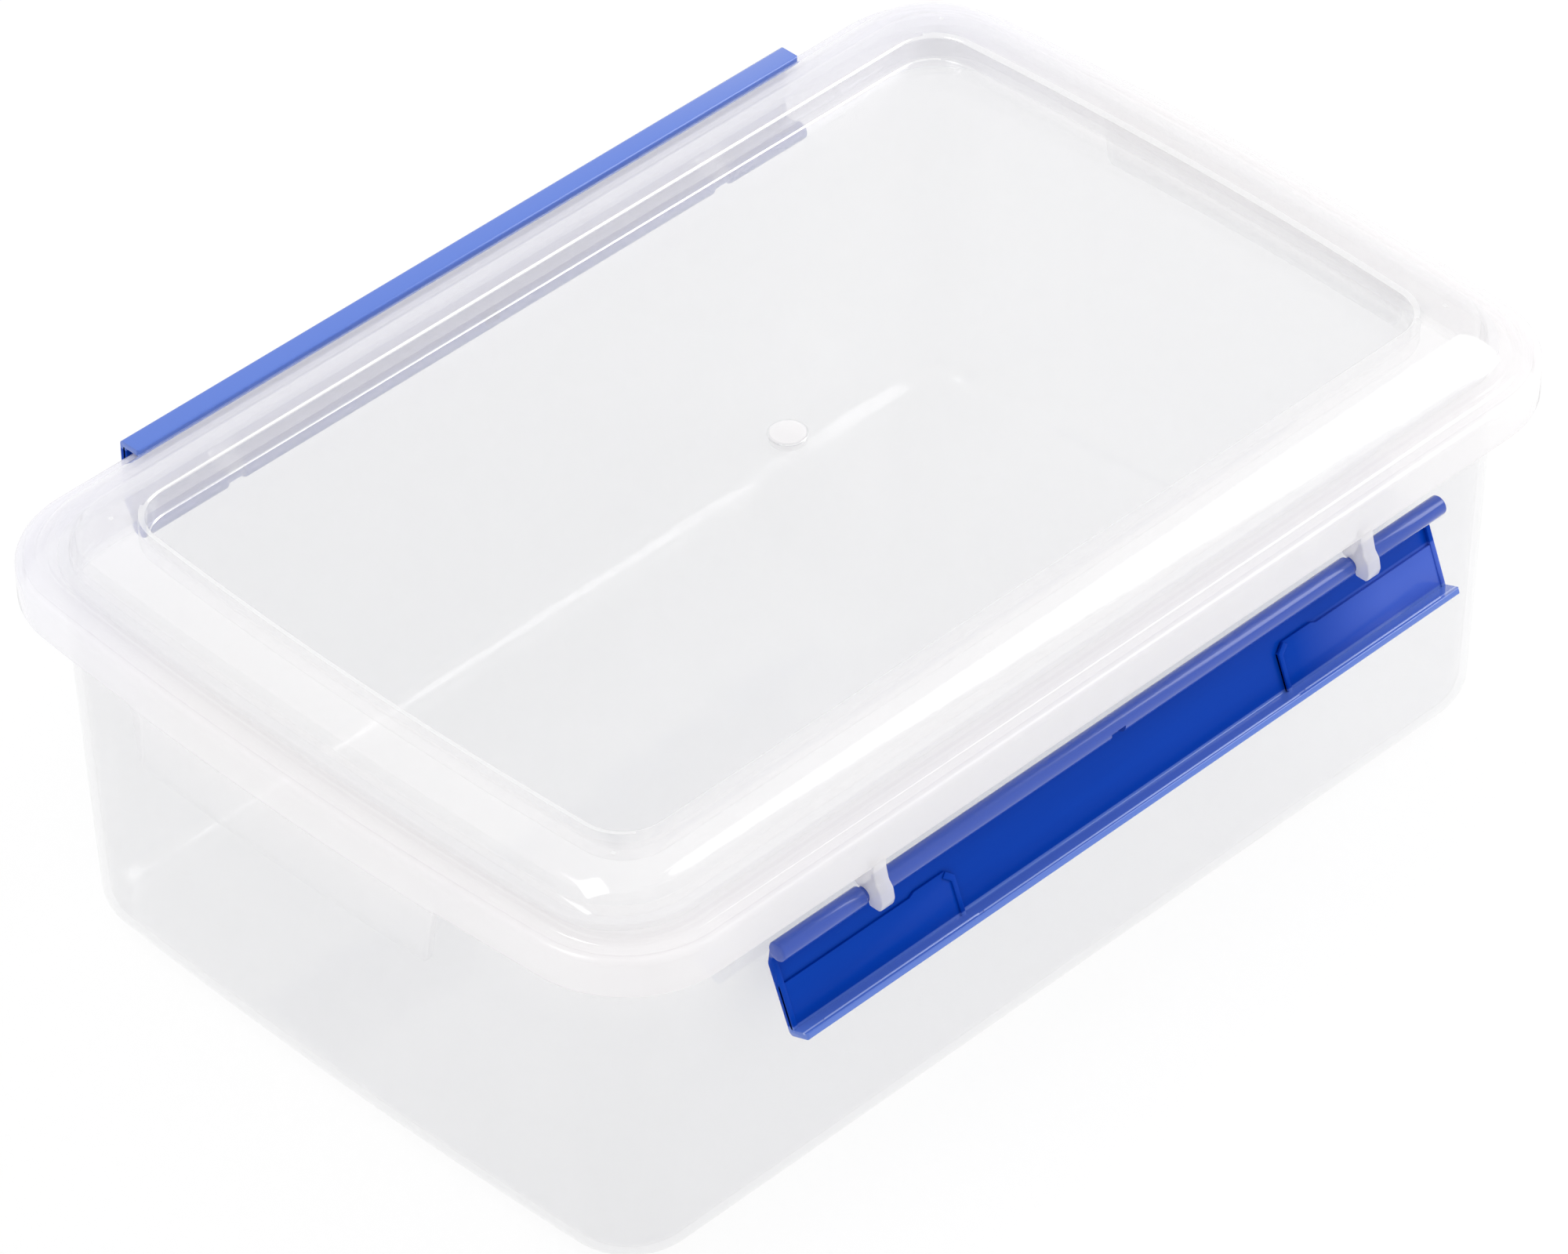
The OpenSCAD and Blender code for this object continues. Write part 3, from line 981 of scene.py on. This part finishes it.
@dataclass
class Seal:
    """The clear seal ring in the lid's channel, with a rounded sealing face."""

    sizes: Sizes
    finish: ClearSilicone = field(default_factory=ClearSilicone)

    def build(self) -> None:
        """Builds the ring in place of its CAD node."""
        s = self.sizes
        inner = s.skirt_inset - s.seal_gap
        outer = inner - s.seal_w
        low, high = s.parting_z + 0.02, s.parting_z + s.seal_h
        section = rounded([(outer, low, 0.6), (inner, low, 0.6), (inner, high, 0.4),
                           (outer, high, 0.4)], 4)
        bm = bmesh.new()
        first: list = []
        ring: list = []
        outline = s.outline(Family.WALL)
        for inset, z in section:
            places = [Vector((x, y, z)) for x, y in outline.points(inset)]
            if ring:
                ring = extrude_ring(bm, ring, places)
            else:
                ring = first = first_ring(bm, places)
        ends = [bm.edges.get((a, b)) for loop in (first, ring)
                for a, b in zip(loop, loop[1:] + loop[:1])]
        bmesh.ops.bridge_loops(bm, edges=ends)
        bmesh.ops.recalc_face_normals(bm, faces=bm.faces)
        seal = to_object(bm, "seal_ring", self.finish.material())
        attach(seal, "container")
        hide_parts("seal")


@dataclass
class Clip:
    """One blue clip: bead with its pins, curved skin, end plates, lip and the ribs under it."""

    sizes: Sizes
    name: str
    body: str
    closed: bool
    length: float = 206.0
    out: float = 5.5
    skin: float = 0.9
    plate: float = 0.7
    plate_x: float = 51.0
    lip_t: float = 1.6
    tip: float = -0.6
    lip_up: float = 20.35
    bead_r: float = 2.45
    bead_l: float = 208.0
    pin_r: float = 1.75
    hook_x: float = 76.3
    window_w: float = 5.2
    window_h: float = 4.9
    root_h: float = 4.2
    end_wall: float = 1.3
    plate_low: float = 9.6
    plate_dip: float = 8.9
    plate_h: float = 10.8
    wedge: float = 3.0
    wedge_at: float = 1.9
    notch: tuple = ((-4.4, -0.6, 0.5), (0, 4, 4))

    def skin_section(self) -> list[Point]:
        """Returns the section of skin and lip, as (out, up) from the hinge axis, locked upright."""
        inner = self.out - self.skin
        top = self.lip_up + self.lip_t
        return rounded([
            (0.8, -2.1, 0), (3.7, 0.9, 1.2), (self.out, self.root_h, 2.0),
            (self.out, top, 1.1), (self.tip, top, 0.5), (self.tip, self.lip_up, 0.3),
            (inner, self.lip_up, 0.4), (inner, self.root_h + 0.4, 1.5), (3.3, 2.4, 1.0),
            (0.8, 2.1, 0)], 6)

    def plates(self) -> list[bmesh.types.BMesh]:
        """Returns the two thicker end plates in the skin, each with a raised inner end."""
        made = []
        inner = self.out - self.skin
        face = inner - self.plate
        low, dip, high, top = self.plate_low, self.plate_dip, self.plate_h, self.lip_up + 0.2
        for side in (-1, 1):
            x0, x1 = side * self.plate_x, side * (self.length / 2 - 0.05)
            step = side * 13
            outline = [(x1, low), (x0 + step, low), (x0 + step * 0.88, dip),
                       (x0 + side * 2.2, dip), (x0, high), (x0, top), (x1, top)]
            made.append(self.slab(outline, -inner - 0.3, -face, 0.2))
            rib = [(x0, high), (x0 + side * 2.2, dip), (x0 + side * 3.4, 10.0),
                   (x0 + side * 1.3, 11.8), (x0 + side * 1.3, top), (x0, top)]
            made.append(self.slab(rib, -inner - 0.3, -face + 0.4, 0.25))
            wall = [(x1, 2.6), (x1 - side * self.end_wall, 2.6),
                    (x1 - side * self.end_wall, top), (x1, top)]
            made.append(self.slab(wall, -inner - 0.3, -face + 0.25, 0.2))
        return made

    def slab(self, outline: Sequence[Point], back: float, front: float,
             rounding: float) -> bmesh.types.BMesh:
        """Returns a plate over an outline in X and Z, between two depths, with soft edges."""
        bm = bmesh.new()
        face = bm.faces.new([bm.verts.new((x, back, z)) for x, z in outline])
        made = bmesh.ops.extrude_face_region(bm, geom=[face])["geom"]
        moved = [v for v in made if isinstance(v, bmesh.types.BMVert)]
        bmesh.ops.translate(bm, vec=(0, front - back, 0), verts=moved)
        bmesh.ops.recalc_face_normals(bm, faces=bm.faces)
        bevel_sharp(bm, rounding, 2)
        return bm

    def ribs(self) -> list[bmesh.types.BMesh]:
        """Returns the three low ribs under the lip."""
        made = []
        for x0, x1, out in ((-97, -50, 0.55), (-49, 51, 0.25), (53, 98, 0.55)):
            bm = rod(x0, x1, 0.42, 0.3, 12)
            bmesh.ops.translate(bm, vec=(0, -out, self.lip_up + 0.2), verts=bm.verts)
            made.append(bm)
        return made

    def mesh(self) -> bmesh.types.BMesh:
        """Returns the clip about its hinge axis, locked upright with its outer face to -Y."""
        half = self.length / 2
        window = self.window_w / 2
        body = prism(self.skin_section(), -half, half)
        cutters = [box_mesh((x - window, -12, -6), (x + window, 6, self.window_h))
                   for x in (-self.hook_x, self.hook_x)]
        for side in (-1, 1):
            wedge = box_mesh((-self.wedge,) * 3, (self.wedge,) * 3)
            turn(wedge, side * math.pi / 4, "Z")
            centre = (side * (half + self.wedge_at), -self.tip + self.wedge_at, self.lip_up + 1)
            bmesh.ops.translate(wedge, vec=centre, verts=wedge.verts)
            cutters.append(wedge)
        body = cut(body, cutters)
        bevel_sharp(body, 0.12, 2, math.radians(55))
        ends = [-self.bead_l / 2, -self.hook_x - window, -self.hook_x + window,
                self.hook_x - window, self.hook_x + window, self.bead_l / 2]
        beads = [rod(ends[i], ends[i + 1], self.bead_r, 0.5) for i in (0, 2, 4)]
        beads[1] = cut(beads[1], [box_mesh(*self.notch)])
        pins = [rod(x - window - 0.8, x + window + 0.8, self.pin_r, 0.2)
                for x in (-self.hook_x, self.hook_x)]
        return join(body, *beads, *pins, *self.plates(), *self.ribs())

    def finish(self) -> BluePlastic:
        """Returns the finish, which needs the hinge axis and the way from there to the lip."""
        s = self.sizes
        side = 1 if self.closed else -1
        angle = 0.0 if self.closed else s.open_angle
        return BluePlastic((side * s.axis_y * MM, s.axis_z * MM),
                           (-math.sin(angle), math.cos(angle)))

    def build(self) -> None:
        """Builds the clip in place of its CAD node."""
        s = self.sizes
        bm = self.mesh()
        if not self.closed:
            turn(bm, s.open_angle, "X")
        bmesh.ops.translate(bm, vec=(0, -s.axis_y, s.axis_z), verts=bm.verts)
        if self.closed:
            turn(bm, math.pi, "Z")
        clip = to_object(bm, self.name + "_moulding", self.finish().material())
        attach(clip, self.body)
        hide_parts(self.name)


@dataclass
class Studio:
    """White floor and world, a large softbox, a small lamp, and the photograph's camera."""

    floor_half: float = 6.0
    sky: float = 0.9
    floor_glow: float = 0.88
    see_through: int = 32
    lens: float = 194.47
    sensor: float = 36.0
    far: float = 50.0
    camera_at: Vector = field(default_factory=lambda: Vector((-1.0207, -1.0470, 1.2725)))
    camera_right: Vector = field(default_factory=lambda: Vector((0.7090, -0.7052, -0.0133)))
    camera_up: Vector = field(default_factory=lambda: Vector((0.4595, 0.4475, 0.7672)))

    def floor(self) -> None:
        """Lays the floor, which shows white and keeps a soft shadow."""
        bm = bmesh.new()
        bmesh.ops.create_grid(bm, x_segments=1, y_segments=1, size=self.floor_half)
        mesh = bpy.data.meshes.new("floor")
        bm.to_mesh(mesh)
        bm.free()
        floor = bpy.data.objects.new("floor", mesh)
        floor.location = (0, 0, -0.0002)
        bpy.context.scene.collection.objects.link(floor)
        shader = Shader("floor_white")
        path = shader.tree.nodes.new("ShaderNodeLightPath")
        camera, glossy, through = (Socket(shader, path.outputs[f"Is {kind} Ray"])
                                   for kind in ("Camera", "Glossy", "Transmission"))
        seen = (camera + glossy + through) * self.floor_glow
        matte = shader.node("ShaderNodeBsdfDiffuse", {}, {"Color": (0.95, 0.95, 0.95, 1)})
        glow = shader.node("ShaderNodeEmission", {}, {"Color": (1, 1, 1, 1), "Strength": 1.0})
        blend = shader.blend(seen, matte, glow)
        mesh.materials.append(shader.finish(blend))

    def world(self) -> None:
        """Sets a white surround that lights the object at a plain level."""
        world = bpy.data.worlds.new("studio")
        bpy.context.scene.world = world
        world.use_nodes = True
        tree = world.node_tree
        background = tree.nodes["Background"]
        background.inputs["Color"].default_value = (1, 1, 1, 1)
        path = tree.nodes.new("ShaderNodeLightPath")
        matte = tree.nodes.new("ShaderNodeMath")
        matte.operation = "MULTIPLY_ADD"
        tree.links.new(path.outputs["Is Diffuse Ray"], matte.inputs[0])
        matte.inputs[1].default_value = self.sky - 1
        matte.inputs[2].default_value = 1.0
        tree.links.new(matte.outputs[0], background.inputs["Strength"])

    def lamp(self, name: str, towards: Vector, distance: float, size: Point, energy: float,
             spin: float = 0.0, shift: Point = (0.0, 0.0)) -> None:
        """Hangs a rectangular lamp that shines at the container.

        Args:
            name: The lamp's name.
            towards: Direction from the container to the lamp.
            distance: How far away it hangs, in metres.
            size: Its width and height in metres.
            energy: Its power in watts.
            spin: How far it is turned about its own axis, in degrees.
            shift: How far it is moved within its own plane, sideways and up, in metres.
        """
        light = bpy.data.lights.new(name, "AREA")
        light.shape = "RECTANGLE"
        light.size, light.size_y = size
        light.energy = energy
        lamp = bpy.data.objects.new(name, light)
        bpy.context.scene.collection.objects.link(lamp)
        direction = towards.normalized()
        facing = direction.to_track_quat("Z", "Y")
        lamp.location = Vector((0, 0, 0.1)) + direction * distance + facing @ Vector((*shift, 0))
        pose = facing @ Matrix.Rotation(math.radians(spin), 4, "Z").to_quaternion()
        lamp.rotation_euler = pose.to_euler()

    def camera(self) -> None:
        """Sets the camera that the photograph's outlines fit."""
        data = bpy.data.cameras.new("camera")
        data.lens = self.lens
        data.sensor_width = self.sensor
        data.clip_end = self.far
        camera = bpy.data.objects.new("camera", data)
        bpy.context.scene.collection.objects.link(camera)
        right, up = self.camera_right.normalized(), self.camera_up.normalized()
        back = right.cross(up)
        basis = Matrix((right, up, back)).transposed()
        camera.matrix_world = Matrix.Translation(self.camera_at) @ basis.to_4x4()
        bpy.context.scene.camera = camera

    def build(self) -> None:
        """Builds the whole studio."""
        self.camera()
        self.world()
        self.floor()
        self.lamp("softbox", Vector((0.535, -0.14, 0.80)), 1.6, (0.65, 1.3), 9.5, -37.7,
                  (-0.26, -0.456))
        self.lamp("kicker", Vector((-0.36, 0.23, 0.9)), 1.8, (0.6, 0.6), 5.5)
        bpy.context.scene.view_settings.view_transform = "Standard"
        bpy.context.scene.cycles.transparent_max_bounces = self.see_through


def main() -> None:
    """Builds the container's pieces in order and reports each."""
    logging.basicConfig(level=logging.INFO, format="%(name)s: %(message)s")
    sizes = Sizes()
    Studio().build()
    Tub(sizes).build()
    Lid(sizes).build()
    Seal(sizes).build()
    Clip(sizes, "front_clip", "front_clip", closed=False).build()
    Clip(sizes, "rear_clip", "rear_clip", closed=True).build()


if __name__ == "__main__":
    main()
